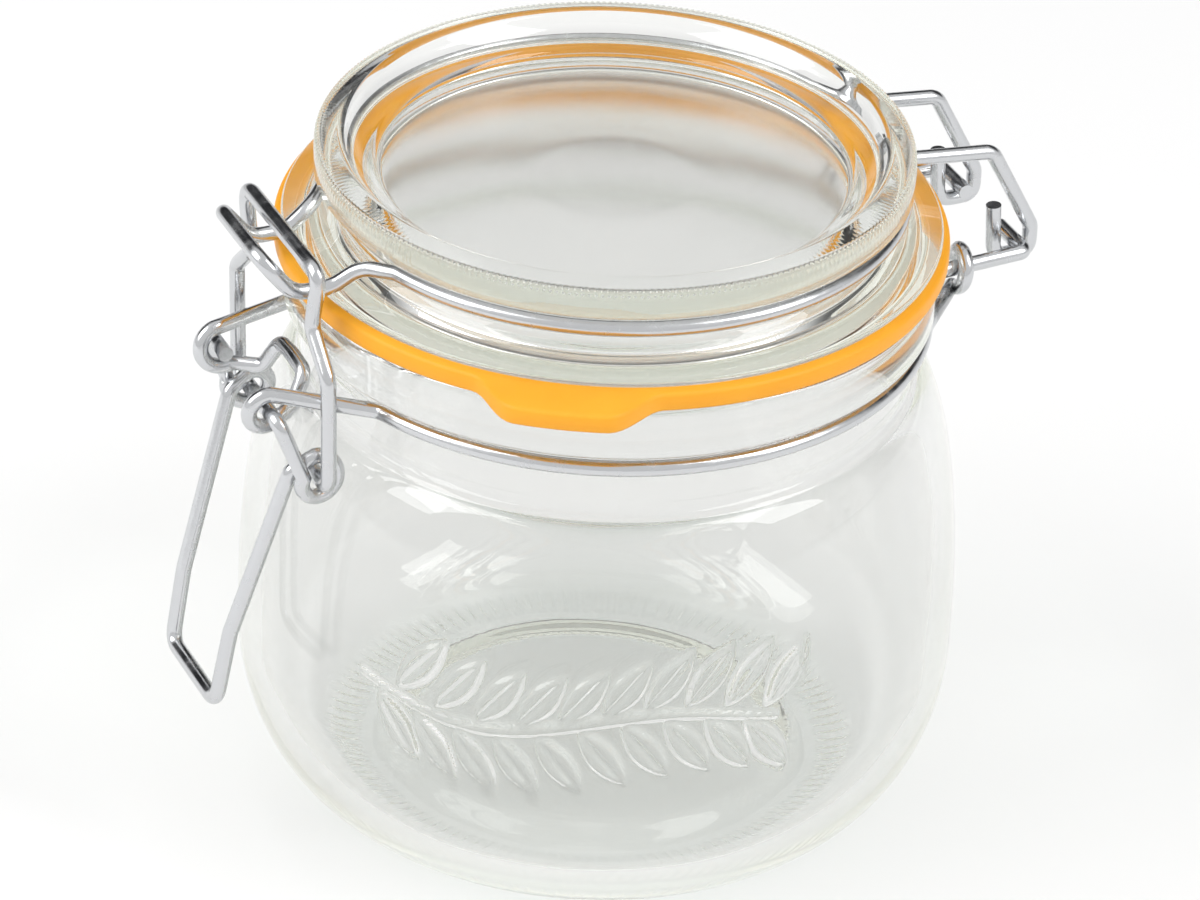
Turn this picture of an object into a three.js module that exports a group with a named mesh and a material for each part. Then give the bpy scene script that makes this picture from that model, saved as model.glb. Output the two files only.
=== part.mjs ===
// A half-litre preserving jar: glass jar, glass lid, rubber ring and a five-wire lever closure, shut.
// Millimetres, +Z up. The jar stands on Z = 0 round the Z axis. The lever is at -X and the hinge at +X,
// and everything except the rubber ring's tab is mirrored about the XZ plane.
import * as THREE from 'three';

// Driving dimensions of the glass jar
const BODY_R = 53.6;
const HEEL_CONTACT_R = 36;
const HEEL_TOP_Z = 25;
const SHOULDER_START_Z = 30;
const SHOULDER_R = 45;
const SHOULDER_END_Z = 69.5;
const WALL = 3.6;
const FLOOR_Z = 4.6;
const FLOOR_RISE = 1;
const PUSH_UP = 2.2;
const PUSH_UP_EDGE_R = 27;
const FOOT_INNER_R = 33;
const NECK_R = 45.2;
const NECK_BOTTOM_Z = 71.9;
const BEAD_R = 47.6;
const BEAD_SLOPE_R = 46.8;
const BEAD_BOTTOM_Z = 80.6;
const BEAD_EDGE_Z = 81.8;
const MOUTH_R = 41;
const MOUTH_TOP_Z = 89.1;
const LIP_ROUND = 1.6;
const JAR_SEGMENTS = 52;

// Driving dimensions of the wires, the same round wire in all five
const WIRE_R = 1.15;
const WIRE_SIDES = 8;
const GAP = 0.3;
const BEND_R = 2.6;
const BEND_STEPS = 4;
const TURN = 2 * Math.PI;
const RING_STEP = TURN / 52;
const COIL_STEP = TURN / 12;

// Driving dimensions of the rubber ring and its pull tab
const RUBBER_INNER_R = 41.2;
const RUBBER_OUTER_R = 49;
const RUBBER_BOTTOM_Z = MOUTH_TOP_Z + GAP;
const RUBBER_THICK = 2.9;
const TAB_ANGLE = THREE.MathUtils.degToRad(238);
const TAB_REACH = 6;
const TAB_ROOT_HALF_ANGLE = THREE.MathUtils.degToRad(16);
const TAB_TIP_HALF_ANGLE = THREE.MathUtils.degToRad(6.8);
const TAB_STEPS = 8;

// Driving dimensions of the lid
const FLANGE_BOTTOM_Z = RUBBER_BOTTOM_Z + RUBBER_THICK + GAP;
const FLANGE_R = 48;
const FLANGE_EDGE_Z = FLANGE_BOTTOM_Z + 1;
const FLANGE_SLOPE_R = 44.6;
const LID_NECK_R = 42.9;
const LID_NECK_TOP_R = 42;
const PLUG_R = 40.4;
const PLUG_BOTTOM_Z = 90.4;
const PLUG_INNER_R = 37;
const LID_RIM_R = 43.4;
const LID_RIM_ROUND = 3;
const LID_TOP_Z = 105.75;
const DISC_R = 33.8;
const DISC_TOP_Z = 101.1;
const DISC_BOTTOM_Z = 96.1;
const UNDERSIDE_FLAT_R = 13;
const UNDERSIDE_EDGE = { r: 34, z: 93.8 };

// Where the wires lie
const NECK_WIRE_R = 46.3;
const NECK_WIRE_Z = 78.6;
const LID_WIRE_R = 42;
const LID_WIRE_Z = 98.7;
const COIL_PITCH = 2 * WIRE_R + 0.35;
const NECK_RING_ARC = [-30, -159];
const LID_RING_ARC = [-19, -161];
const HINGE_EYE_ARC = [-90, 180];
const LEVER_EYE_ARC = [90, -120];
const LEVER_RING_ARC = [-20, 275];
const LEVER_PIVOT = { x: -57.2, z: 77.7 };
const LEVER_EYE_R = 2.9;
const LEVER_EYE_Y = 9.4;
const BRIDGE = { x: -49.7, z: 80 };
const BRIDGE_END = { y: 4.6, z: 79.6 };
const BRIDGE_RAMP = { x: -51.9, y: 5.8, z: 75.3 };
const LINK_PIVOT = { x: -51, z: 67.6 };
const LEVER_RING_R = 2.95;
const LEVER_RING_INNER_Y = 12;
const LEVER_PIN_TIP_Y = 6.8;
const CRANK_Y = 13.4;
const HANDLE_ROOT = { x: -54.6, y: 11.8, z: 68.4 };
const HANDLE_FOOT = { x: -64.5, y: 8.7, z: 29.2 };
const HANDLE_BEND = { x: -62.6, y: 9.2, z: 41 };
const LINK_TOP = { x: -51.6, y: 14, z: 101 };
const LINK_WAIST = { y: 11.4, z: 91.4 };
const LINK_LEG = { x: -51.4, y: 17.4, z: 85.8 };
const LINK_FOOT_TIP_Y = 9.6;
const LOOP_HALF = 8.5;
const LOOP_ROOT = { x: -43.4, y: 9.4, z: 98.2 };
const LOOP_ARM_FROM = { x: -47.6, y: 8.6 };
const LOOP_ARM_TO_X = -53.2;
const LOOP_ARM_Z = 95.4;
const LOOP_END = { x: -57.9, z: 101.4 };
const HINGE_LEG_Y = 13.6;
const HINGE_EYE_R = 2.75;
const HINGE_EYE = { x: 50.4, z: NECK_WIRE_Z + HINGE_EYE_R };
const HINGE_PIN = { x: 61.4, z: 81.9 };
const HINGE_PIN_TIP_Y = 5.4;
const HINGE_LEG_ROOT_X = 47.4;
const HINGE_GROOVE_EXIT = { x: 46, y: 12.4, z: 79.2 };
const HINGE_GROOVE_Y = 10.6;
const HOOK_Y = 9;
const HOOK_ROOT_X = 42.6;
const HOOK_OUTER_X = 64.5;
const HOOK_POST_X = 58.6;
const HOOK_BOTTOM_Z = 79.2;
const HOOK_KNEE_Z = 83.4;
const HOOK_CUT = { x: 58, z: 88 };
const HOOK_TOP = { x: 57, z: 97.2 };

const v2 = (r, z) => new THREE.Vector2(r, z);
const v3 = (x, y, z) => new THREE.Vector3(x, y, z);

// Directions that the coils of the front half (Y < 0) are wound along
const UP = v3(0, 0, 1);
const AWAY_X = v3(-1, 0, 0);
const AWAY_Y = v3(0, -1, 0);
const INWARD_Y = v3(0, 1, 0);

// Points of a quarter, half or other stretch of an ellipse in a lathe profile, both ends included.
function ellipseArc(centreR, centreZ, halfR, halfZ, fromDeg, toDeg, steps) {
  const points = [];
  for (let i = 0; i <= steps; i += 1) {
    const a = THREE.MathUtils.degToRad(fromDeg + ((toDeg - fromDeg) * i) / steps);
    points.push(v2(centreR + halfR * Math.cos(a), centreZ + halfZ * Math.sin(a)));
  }
  return points;
}

// A solid of revolution about the Z axis, from a profile that starts and ends on the axis.
function turned(profile) {
  const geometry = new THREE.LatheGeometry(profile, JAR_SEGMENTS);
  geometry.rotateX(Math.PI / 2);
  return geometry;
}

// A wire's centre line: straight runs and bends through the given points, one extrusion step for each.
class WirePath extends THREE.Curve {
  constructor(points) {
    super();
    this.points = points;
  }

  getPoint(t, target = new THREE.Vector3()) {
    const last = this.points.length - 1;
    const i = Math.min(Math.floor(t * last + 1e-9), last - 1);
    return target.lerpVectors(this.points[i], this.points[i + 1], t * last - i);
  }

  getPointAt(u, target) {
    return this.getPoint(u, target);
  }

  getTangentAt(u, target = new THREE.Vector3()) {
    const last = this.points.length - 1;
    const i = Math.round(u * last);
    const before = this.points[Math.max(i - 1, 0)];
    const after = this.points[Math.min(i + 1, last)];
    const here = this.points[i];
    target.set(0, 0, 0);
    if (i > 0) target.add(here.clone().sub(before).normalize());
    if (i < last) target.add(after.clone().sub(here).normalize());
    return target.normalize();
  }

  getSpacedPoints(divisions) {
    return this.getPoints(divisions);
  }
}

// A round wire extruded along its centre line.
function wireAlong(points) {
  const section = new THREE.Shape();
  for (let i = 0; i < WIRE_SIDES; i += 1) {
    const a = (TURN * (i + 0.5)) / WIRE_SIDES;
    const corner = v2(WIRE_R * Math.cos(a), WIRE_R * Math.sin(a));
    if (i === 0) section.moveTo(corner.x, corner.y);
    else section.lineTo(corner.x, corner.y);
  }
  section.closePath();
  return new THREE.ExtrudeGeometry(section, {
    steps: points.length - 1,
    extrudePath: new WirePath(points),
  });
}

// The centre line through the corners with every inner corner bent to a radius.
function bent(corners, radius = BEND_R) {
  const points = [corners[0]];
  for (let i = 1; i < corners.length - 1; i += 1) {
    const here = corners[i];
    const back = corners[i - 1].clone().sub(here);
    const ahead = corners[i + 1].clone().sub(here);
    const half = back.angleTo(ahead) / 2;
    const room = 0.45 * Math.min(back.length(), ahead.length());
    const reach = Math.min(radius / Math.tan(half), room);
    const start = here.clone().addScaledVector(back.normalize(), reach);
    const end = here.clone().addScaledVector(ahead.normalize(), reach);
    const bend = new THREE.QuadraticBezierCurve3(start, here, end);
    const steps = half > 1.25 ? 2 : BEND_STEPS;
    points.push(...bend.getPoints(steps));
  }
  points.push(corners[corners.length - 1]);
  return points;
}

// Points of a coil round a line along the given axis, advancing evenly along it.
function coil(centre, across, up, along, radius, arcDeg) {
  const [from, to] = arcDeg.map(THREE.MathUtils.degToRad);
  const steps = Math.ceil(Math.abs(to - from) / COIL_STEP);
  const points = [];
  for (let i = 0; i <= steps; i += 1) {
    const a = from + ((to - from) * i) / steps;
    points.push(centre.clone()
      .addScaledVector(across, radius * Math.cos(a))
      .addScaledVector(up, radius * Math.sin(a))
      .addScaledVector(along, (COIL_PITCH * Math.abs(a - from)) / TURN));
  }
  return points;
}

// Points of a level arc round the jar's axis.
function levelArc(radius, z, arcDeg) {
  const [from, to] = arcDeg.map(THREE.MathUtils.degToRad);
  const steps = Math.ceil(Math.abs(to - from) / RING_STEP);
  const points = [];
  for (let i = 0; i <= steps; i += 1) {
    const a = from + ((to - from) * i) / steps;
    points.push(v3(radius * Math.cos(a), radius * Math.sin(a), z));
  }
  return points;
}

// The whole of a centre line whose front half (Y < 0) runs up to the XZ plane.
function mirrored(frontHalf) {
  const back = frontHalf.map((p) => v3(p.x, -p.y, p.z)).reverse();
  if (Math.abs(frontHalf[frontHalf.length - 1].y) < 1e-6) back.shift();
  return [...frontHalf, ...back];
}

// Glass jar: pushed-up base, round heel, barrel side drawn in to the neck, wire groove, bead and mouth.
function glassJar() {
  const heelR = BODY_R - HEEL_CONTACT_R;
  const shoulderR = BODY_R - SHOULDER_R;
  const shoulderHeight = SHOULDER_END_Z - SHOULDER_START_Z;
  const grooveR = WIRE_R + GAP;
  const innerR = BODY_R - WALL;
  const lipZ = MOUTH_TOP_Z - LIP_ROUND;
  const outer = [
    v2(0, PUSH_UP),
    v2(PUSH_UP_EDGE_R, PUSH_UP),
    v2(FOOT_INNER_R, 0),
    ...ellipseArc(HEEL_CONTACT_R, HEEL_TOP_Z, heelR, HEEL_TOP_Z, -90, 0, 7),
    ...ellipseArc(SHOULDER_R, SHOULDER_START_Z, shoulderR, shoulderHeight, 0, 84, 6),
    v2(NECK_R, NECK_BOTTOM_Z),
    ...ellipseArc(NECK_WIRE_R, NECK_WIRE_Z, grooveR, grooveR, 225, 135, 4),
    v2(BEAD_SLOPE_R, BEAD_BOTTOM_Z),
    v2(BEAD_R, BEAD_EDGE_Z),
    ...ellipseArc(BEAD_R - LIP_ROUND, lipZ, LIP_ROUND, LIP_ROUND, 0, 90, 2),
  ];
  const inner = [
    ...ellipseArc(MOUTH_R + LIP_ROUND, lipZ, LIP_ROUND, LIP_ROUND, 90, 180, 2),
    v2(MOUTH_R, SHOULDER_END_Z + 1),
    ...ellipseArc(MOUTH_R, SHOULDER_START_Z, innerR - MOUTH_R, shoulderHeight - 1.5, 84, 0, 5),
    ...ellipseArc(HEEL_CONTACT_R, HEEL_TOP_Z, innerR - HEEL_CONTACT_R, HEEL_TOP_Z - FLOOR_Z, 0, -90, 5),
    v2(0, FLOOR_Z + FLOOR_RISE),
  ];
  return turned([...outer, ...inner]);
}

// Glass lid: plug, flange on the rubber ring, wire groove, thick round rim and a sunk flat disc.
function glassLid() {
  const grooveR = WIRE_R + GAP;
  const rimCentreR = LID_RIM_R - LID_RIM_ROUND;
  const rimCentreZ = LID_TOP_Z - LID_RIM_ROUND;
  return turned([
    v2(0, DISC_BOTTOM_Z),
    v2(UNDERSIDE_FLAT_R, DISC_BOTTOM_Z),
    v2(UNDERSIDE_EDGE.r, UNDERSIDE_EDGE.z),
    v2(PLUG_INNER_R - 0.8, PLUG_BOTTOM_Z + 1),
    v2(PLUG_INNER_R, PLUG_BOTTOM_Z),
    v2(PLUG_R - 0.6, PLUG_BOTTOM_Z),
    v2(PLUG_R, PLUG_BOTTOM_Z + 0.7),
    v2(PLUG_R + 0.2, FLANGE_BOTTOM_Z),
    v2(FLANGE_R - 0.5, FLANGE_BOTTOM_Z),
    v2(FLANGE_R, FLANGE_BOTTOM_Z + 0.4),
    v2(FLANGE_R - 0.4, FLANGE_EDGE_Z),
    v2(FLANGE_SLOPE_R, FLANGE_EDGE_Z + 0.5),
    v2(LID_NECK_R, FLANGE_EDGE_Z + 1.4),
    v2(LID_NECK_TOP_R, LID_WIRE_Z - 2.6),
    ...ellipseArc(LID_WIRE_R, LID_WIRE_Z, grooveR, grooveR, 235, 105, 5),
    ...ellipseArc(rimCentreR, rimCentreZ, LID_RIM_ROUND, LID_RIM_ROUND, -30, 140, 7),
    v2(DISC_R + 1.6, DISC_TOP_Z + 1.6),
    v2(DISC_R, DISC_TOP_Z + 0.3),
    v2(DISC_R - 1, DISC_TOP_Z),
    v2(0, DISC_TOP_Z),
  ]);
}

// Rubber ring: a flat ring with one pull tab that widens from its outer edge.
function rubberRing() {
  const outline = new THREE.Shape();
  const steps = JAR_SEGMENTS;
  const ringStart = TAB_ANGLE + TAB_ROOT_HALF_ANGLE;
  const ringEnd = TAB_ANGLE - TAB_ROOT_HALF_ANGLE + TURN;
  for (let i = 0; i <= steps; i += 1) {
    const a = ringStart + ((ringEnd - ringStart) * i) / steps;
    const x = RUBBER_OUTER_R * Math.cos(a);
    const y = RUBBER_OUTER_R * Math.sin(a);
    if (i === 0) outline.moveTo(x, y);
    else outline.lineTo(x, y);
  }
  for (let i = 1; i < TAB_STEPS; i += 1) {
    const offset = TAB_ROOT_HALF_ANGLE * ((2 * i) / TAB_STEPS - 1);
    const flank = TAB_ROOT_HALF_ANGLE - TAB_TIP_HALF_ANGLE;
    const rise = THREE.MathUtils.smoothstep(TAB_ROOT_HALF_ANGLE - Math.abs(offset), 0, flank);
    const r = RUBBER_OUTER_R + TAB_REACH * rise;
    outline.lineTo(r * Math.cos(TAB_ANGLE + offset), r * Math.sin(TAB_ANGLE + offset));
  }
  outline.closePath();
  const hole = new THREE.Path();
  for (let i = 0; i < steps; i += 1) {
    const a = (-TURN * i) / steps;
    const x = RUBBER_INNER_R * Math.cos(a);
    const y = RUBBER_INNER_R * Math.sin(a);
    if (i === 0) hole.moveTo(x, y);
    else hole.lineTo(x, y);
  }
  hole.closePath();
  outline.holes.push(hole);
  const geometry = new THREE.ExtrudeGeometry(outline, { depth: RUBBER_THICK, bevelEnabled: false });
  geometry.translate(0, 0, RUBBER_BOTTOM_Z);
  return geometry;
}

// Neck wire: round the neck from one hinge eye to the other, with an eye for each end of the lever.
function neckWire() {
  const hingeEyeCentre = v3(HINGE_EYE.x - COIL_PITCH * 0.4, -HINGE_LEG_Y, HINGE_EYE.z);
  const hingeEye = coil(hingeEyeCentre, AWAY_Y, UP, v3(1, 0, 0), HINGE_EYE_R, HINGE_EYE_ARC);
  const ring = levelArc(NECK_WIRE_R, NECK_WIRE_Z, NECK_RING_ARC);
  const leverEyeCentre = v3(LEVER_PIVOT.x, -LEVER_EYE_Y - COIL_PITCH / 4, LEVER_PIVOT.z);
  const leverEye = coil(leverEyeCentre, AWAY_X, UP, INWARD_Y, LEVER_EYE_R, LEVER_EYE_ARC);
  const bridge = bent([
    leverEye[leverEye.length - 1],
    v3(BRIDGE_RAMP.x, -BRIDGE_RAMP.y, BRIDGE_RAMP.z),
    v3(BRIDGE.x, -BRIDGE_END.y, BRIDGE_END.z),
    v3(BRIDGE.x, 0, BRIDGE.z),
  ], 2);
  return wireAlong(mirrored([...hingeEye.reverse(), ...ring, ...leverEye, ...bridge.slice(1)]));
}

// Hinge wire: round the back of the neck, out through the neck wire's eyes, ending in two hinge pins.
function hingeWire() {
  const ringEndDeg = THREE.MathUtils.radToDeg(Math.asin(HINGE_GROOVE_Y / NECK_WIRE_R));
  const ring = levelArc(NECK_WIRE_R, NECK_WIRE_Z, [-ringEndDeg, 0]);
  const leg = bent([
    v3(HINGE_PIN.x, -HINGE_PIN_TIP_Y, HINGE_PIN.z),
    v3(HINGE_PIN.x, -HINGE_LEG_Y, HINGE_PIN.z),
    v3(HINGE_LEG_ROOT_X, -HINGE_LEG_Y, HINGE_EYE.z),
    v3(HINGE_GROOVE_EXIT.x, -HINGE_GROOVE_EXIT.y, HINGE_GROOVE_EXIT.z),
    ring[0],
  ], 1.2);
  leg.pop();
  return wireAlong(mirrored([...leg, ...ring]));
}

// Lid wire: in the lid's groove, with hooks round the hinge pins and a loop under the link.
function lidWire() {
  const ring = levelArc(LID_WIRE_R, LID_WIRE_Z, LID_RING_ARC);
  const hook = bent([
    v3(HOOK_CUT.x, -HOOK_Y, HOOK_CUT.z),
    v3(HOOK_POST_X, -HOOK_Y, HOOK_BOTTOM_Z),
    v3(HOOK_OUTER_X, -HOOK_Y, HOOK_BOTTOM_Z),
    v3(HOOK_OUTER_X, -HOOK_Y, HOOK_KNEE_Z),
    v3(HOOK_TOP.x, -HOOK_Y, HOOK_TOP.z),
    v3(HOOK_ROOT_X, -HOOK_Y, LID_WIRE_Z),
    ring[0],
  ], 2.4);
  hook.pop();
  const loop = bent([
    ring[ring.length - 1],
    v3(LOOP_ROOT.x, -LOOP_ROOT.y, LOOP_ROOT.z),
    v3(LOOP_ARM_FROM.x, -LOOP_ARM_FROM.y, LOOP_ARM_Z),
    v3(LOOP_ARM_TO_X, -LOOP_HALF, LOOP_ARM_Z),
    v3(LOOP_END.x, -LOOP_HALF, LOOP_END.z),
    v3(LOOP_END.x, 0, LOOP_END.z),
  ], 5);
  loop.shift();
  return wireAlong(mirrored([...hook, ...ring, ...loop]));
}

// Link: a frame whose top bar bears on the lid wire's loop and whose feet turn in the lever's rings.
function linkWire() {
  const half = bent([
    v3(LINK_PIVOT.x, -LINK_FOOT_TIP_Y, LINK_PIVOT.z),
    v3(LINK_PIVOT.x, -LINK_LEG.y, LINK_PIVOT.z),
    v3(LINK_LEG.x, -LINK_LEG.y, LINK_LEG.z),
    v3(LINK_TOP.x, -LINK_WAIST.y, LINK_WAIST.z),
    v3(LINK_TOP.x, -LINK_TOP.y, LINK_TOP.z),
    v3(LINK_TOP.x, 0, LINK_TOP.z),
  ]);
  return wireAlong(mirrored(half));
}

// Lever: pins in the neck wire's eyes, cranks, a one-turn ring for each foot of the link, and the handle.
function leverWire() {
  const ringOuterY = LEVER_RING_INNER_Y + COIL_PITCH;
  const ringCentre = v3(LINK_PIVOT.x, -ringOuterY, LINK_PIVOT.z);
  const ring = coil(ringCentre, AWAY_X, v3(0, 0, -1), INWARD_Y, LEVER_RING_R, LEVER_RING_ARC);
  const crank = bent([
    v3(LEVER_PIVOT.x, -LEVER_PIN_TIP_Y, LEVER_PIVOT.z),
    v3(LEVER_PIVOT.x, -CRANK_Y, LEVER_PIVOT.z),
    ring[0],
  ], 2);
  crank.pop();
  const handle = bent([
    ring[ring.length - 1],
    v3(HANDLE_ROOT.x, -HANDLE_ROOT.y, HANDLE_ROOT.z),
    v3(HANDLE_BEND.x, -HANDLE_BEND.y, HANDLE_BEND.z),
    v3(HANDLE_FOOT.x, -HANDLE_FOOT.y, HANDLE_FOOT.z),
    v3(HANDLE_FOOT.x, 0, HANDLE_FOOT.z),
  ]);
  handle.shift();
  return wireAlong(mirrored([...crank, ...ring, ...handle]));
}

const group = new THREE.Group();

function addPiece(name, geometry, color, roughness, metalness, opacity = 1) {
  const material = new THREE.MeshStandardMaterial({
    color, roughness, metalness, opacity, transparent: opacity < 1,
  });
  const mesh = new THREE.Mesh(geometry, material);
  mesh.name = name;
  group.add(mesh);
}

const GLASS = [0xe8eeea, 0.05, 0, 0.35];
const RUBBER = [0xf59a1d, 0.55, 0];
const STEEL = [0xb9bcc0, 0.28, 1];

addPiece('glass_jar', glassJar(), ...GLASS);
addPiece('glass_lid', glassLid(), ...GLASS);
addPiece('rubber_ring', rubberRing(), ...RUBBER);
addPiece('neck_wire', neckWire(), ...STEEL);
addPiece('hinge_wire', hingeWire(), ...STEEL);
addPiece('lid_wire', lidWire(), ...STEEL);
addPiece('link_wire', linkWire(), ...STEEL);
addPiece('lever_wire', leverWire(), ...STEEL);

export default group;
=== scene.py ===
import math

import bmesh
import bpy
import numpy as np
from mathutils import Matrix, Vector


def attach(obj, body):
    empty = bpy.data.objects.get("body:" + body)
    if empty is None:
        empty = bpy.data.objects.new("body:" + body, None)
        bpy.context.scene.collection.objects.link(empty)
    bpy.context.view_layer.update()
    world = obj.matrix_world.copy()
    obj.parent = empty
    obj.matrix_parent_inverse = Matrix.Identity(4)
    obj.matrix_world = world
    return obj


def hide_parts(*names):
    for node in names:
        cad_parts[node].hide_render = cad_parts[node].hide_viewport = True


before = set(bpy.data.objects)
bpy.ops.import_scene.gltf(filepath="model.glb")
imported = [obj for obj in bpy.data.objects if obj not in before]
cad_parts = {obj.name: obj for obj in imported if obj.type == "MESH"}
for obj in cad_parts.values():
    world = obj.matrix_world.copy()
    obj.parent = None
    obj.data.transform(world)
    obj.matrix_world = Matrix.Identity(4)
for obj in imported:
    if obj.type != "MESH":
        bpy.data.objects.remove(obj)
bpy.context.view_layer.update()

MM = 0.001


# Camera
# A long lens looks down at the jar from the lever's side, turned a little clockwise as a
# hand-held camera is. Its centre lies just off the middle of the frame, hence the small shift.
CAMERA_DISTANCE = 0.8955
CAMERA_AIM = Vector((0, 0, 0.057))
CAMERA_AZIMUTH = math.radians(-115.87)
CAMERA_ELEVATION = math.radians(31.49)
CAMERA_ROLL = math.radians(2.67)
FOCAL_PIXELS = 6057.3
FRAME_PIXELS = (1200, 900)
LENS_CENTRE = (602.7, 426.9)
SENSOR_WIDTH = 36
CLIP_START = 0.05
CLIP_END = 50

backwards = Vector((
    math.cos(CAMERA_ELEVATION) * math.cos(CAMERA_AZIMUTH),
    math.cos(CAMERA_ELEVATION) * math.sin(CAMERA_AZIMUTH),
    math.sin(CAMERA_ELEVATION),
))
level_right = Vector((0, 0, 1)).cross(backwards).normalized()
level_up = backwards.cross(level_right)
camera_right = math.cos(CAMERA_ROLL) * level_right + math.sin(CAMERA_ROLL) * level_up
camera_up = backwards.cross(camera_right)

camera = bpy.data.objects.new("camera", bpy.data.cameras.new("camera"))
bpy.context.collection.objects.link(camera)
camera.data.sensor_width = SENSOR_WIDTH
camera.data.lens = SENSOR_WIDTH * FOCAL_PIXELS / FRAME_PIXELS[0]
camera.data.shift_x = (FRAME_PIXELS[0] / 2 - LENS_CENTRE[0]) / FRAME_PIXELS[0]
camera.data.shift_y = (LENS_CENTRE[1] - FRAME_PIXELS[1] / 2) / FRAME_PIXELS[0]
camera.data.clip_start = CLIP_START
camera.data.clip_end = CLIP_END
turn = Matrix((camera_right, camera_up, backwards)).transposed().to_4x4()
camera.matrix_world = Matrix.Translation(CAMERA_AIM + CAMERA_DISTANCE * backwards) @ turn
bpy.context.scene.camera = camera
bpy.context.scene.view_settings.view_transform = "Standard"


# Studio
# A white table top under soft boxes, in a pale room with one dark screen behind the jar, which
# draws the dark upper edges on the wires and the rims of the glass.
FLOOR_SIZE = 6.0
FLOOR_COLOUR = (0.9, 0.9, 0.9, 1)
FLOOR_ROUGHNESS = 0.9
ROOM_COLOUR = (0.9, 0.9, 0.9, 1)
SCREEN_COLOUR = (0.03, 0.03, 0.033, 1)
SCREEN_HEIGHTS = (0.1, 0.22, 0.62, 0.82)
SCREEN_SIDES = (0.05, 0.45)
ROOM_LIGHT = 0.9
SOFTBOXES = (
    # name, azimuth and elevation in degrees, distance, size and power
    ("softbox_left", 170, 42, 1.1, (0.7, 0.9), 6.6),
    ("softbox_right", -45, 45, 1.3, (0.5, 0.9), 6.1),
)


def link(obj):
    bpy.context.collection.objects.link(obj)
    return obj


def add_floor():
    mesh = bpy.data.meshes.new("table_top")
    half = FLOOR_SIZE / 2
    corners = [(-half, -half, 0), (half, -half, 0), (half, half, 0), (-half, half, 0)]
    mesh.from_pydata(corners, [], [(0, 1, 2, 3)])
    material = bpy.data.materials.new("table_top")
    material.use_nodes = True
    shader = material.node_tree.nodes["Principled BSDF"]
    shader.inputs["Base Color"].default_value = FLOOR_COLOUR
    shader.inputs["Roughness"].default_value = FLOOR_ROUGHNESS
    shader.inputs["Specular IOR Level"].default_value = 0.0
    mesh.materials.append(material)
    floor = link(bpy.data.objects.new("table_top", mesh))


def light_room():
    world = bpy.data.worlds.new("studio")
    bpy.context.scene.world = world
    world.use_nodes = True
    nodes = world.node_tree.nodes
    links = world.node_tree.links
    direction = nodes.new("ShaderNodeTexCoord")
    parts = nodes.new("ShaderNodeSeparateXYZ")
    links.new(direction.outputs["Generated"], parts.inputs[0])
    rising = nodes.new("ShaderNodeMapRange")
    falling = nodes.new("ShaderNodeMapRange")
    sideways = nodes.new("ShaderNodeMapRange")
    behind = nodes.new("ShaderNodeVectorMath")
    behind.operation = "DOT_PRODUCT"
    behind.inputs[1].default_value = (-math.cos(CAMERA_AZIMUTH), -math.sin(CAMERA_AZIMUTH), 0)
    links.new(direction.outputs["Generated"], behind.inputs[0])
    for fade, start, end in (
        (rising, SCREEN_HEIGHTS[0], SCREEN_HEIGHTS[1]),
        (falling, SCREEN_HEIGHTS[3], SCREEN_HEIGHTS[2]),
        (sideways, SCREEN_SIDES[0], SCREEN_SIDES[1]),
    ):
        fade.interpolation_type = "SMOOTHSTEP"
        fade.inputs["From Min"].default_value = start
        fade.inputs["From Max"].default_value = end
    links.new(parts.outputs["Z"], rising.inputs["Value"])
    links.new(parts.outputs["Z"], falling.inputs["Value"])
    links.new(behind.outputs["Value"], sideways.inputs["Value"])
    tall = nodes.new("ShaderNodeMath")
    tall.operation = "MULTIPLY"
    links.new(rising.outputs["Result"], tall.inputs[0])
    links.new(falling.outputs["Result"], tall.inputs[1])
    screen = nodes.new("ShaderNodeMath")
    screen.operation = "MULTIPLY"
    links.new(tall.outputs[0], screen.inputs[0])
    links.new(sideways.outputs["Result"], screen.inputs[1])
    room = nodes.new("ShaderNodeMix")
    room.data_type = "RGBA"
    room.inputs["A"].default_value = ROOM_COLOUR
    room.inputs["B"].default_value = SCREEN_COLOUR
    links.new(screen.outputs[0], room.inputs["Factor"])
    links.new(room.outputs["Result"], nodes["Background"].inputs["Color"])
    nodes["Background"].inputs["Strength"].default_value = ROOM_LIGHT


def add_softbox(name, azimuth, elevation, distance, size, power):
    lamp = bpy.data.lights.new(name, "AREA")
    lamp.shape = "RECTANGLE"
    lamp.size = size[0]
    lamp.size_y = size[1]
    lamp.energy = power
    box = link(bpy.data.objects.new(name, lamp))
    a = math.radians(azimuth)
    e = math.radians(elevation)
    away = Vector((math.cos(e) * math.cos(a), math.cos(e) * math.sin(a), math.sin(e)))
    box.location = CAMERA_AIM + distance * away
    box.rotation_euler = away.to_track_quat("Z", "Y").to_euler()


add_floor()
light_room()
for softbox in SOFTBOXES:
    add_softbox(*softbox)


# Glass jar
# Pressed clear glass: a pushed-up base with a ring of fine ribs to stand on, a barrel side with a
# raised sprig on its front, a groove for the neck wire and a thick round bead at the mouth.
JAR_SEGMENTS = 480
BASE_RIBS = 120
BASE_RIB_R = 38.2
BASE_RIB_HALF_LENGTH = 3.4
BASE_RIB_DEPTH = 0.45
BODY_R = 53.6
HEEL_CONTACT_R = 36
HEEL_TOP_Z = 25
SHOULDER_START_Z = 30
SHOULDER_R = 45
SHOULDER_END_Z = 69.5
SHOULDER_SWEEP = 86
WALL = 3.6
FLOOR_Z = 4.6
FLOOR_RISE = 1
PUSH_UP = 2.2
PUSH_UP_EDGE_R = 26
FOOT_INNER_R = 33
NECK_R = 45.2
BEAD_R = 47.6
BEAD_BOTTOM_Z = 80.6
BEAD_ROUND = 1.2
MOUTH_R = 41
MOUTH_TOP_Z = 89.1
LIP_ROUND = 1.6
SPRIG_ANGLE = CAMERA_AZIMUTH - math.radians(4)
SPRIG_Z = 39.5
SPRIG_HALF_LENGTH = 32
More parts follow.
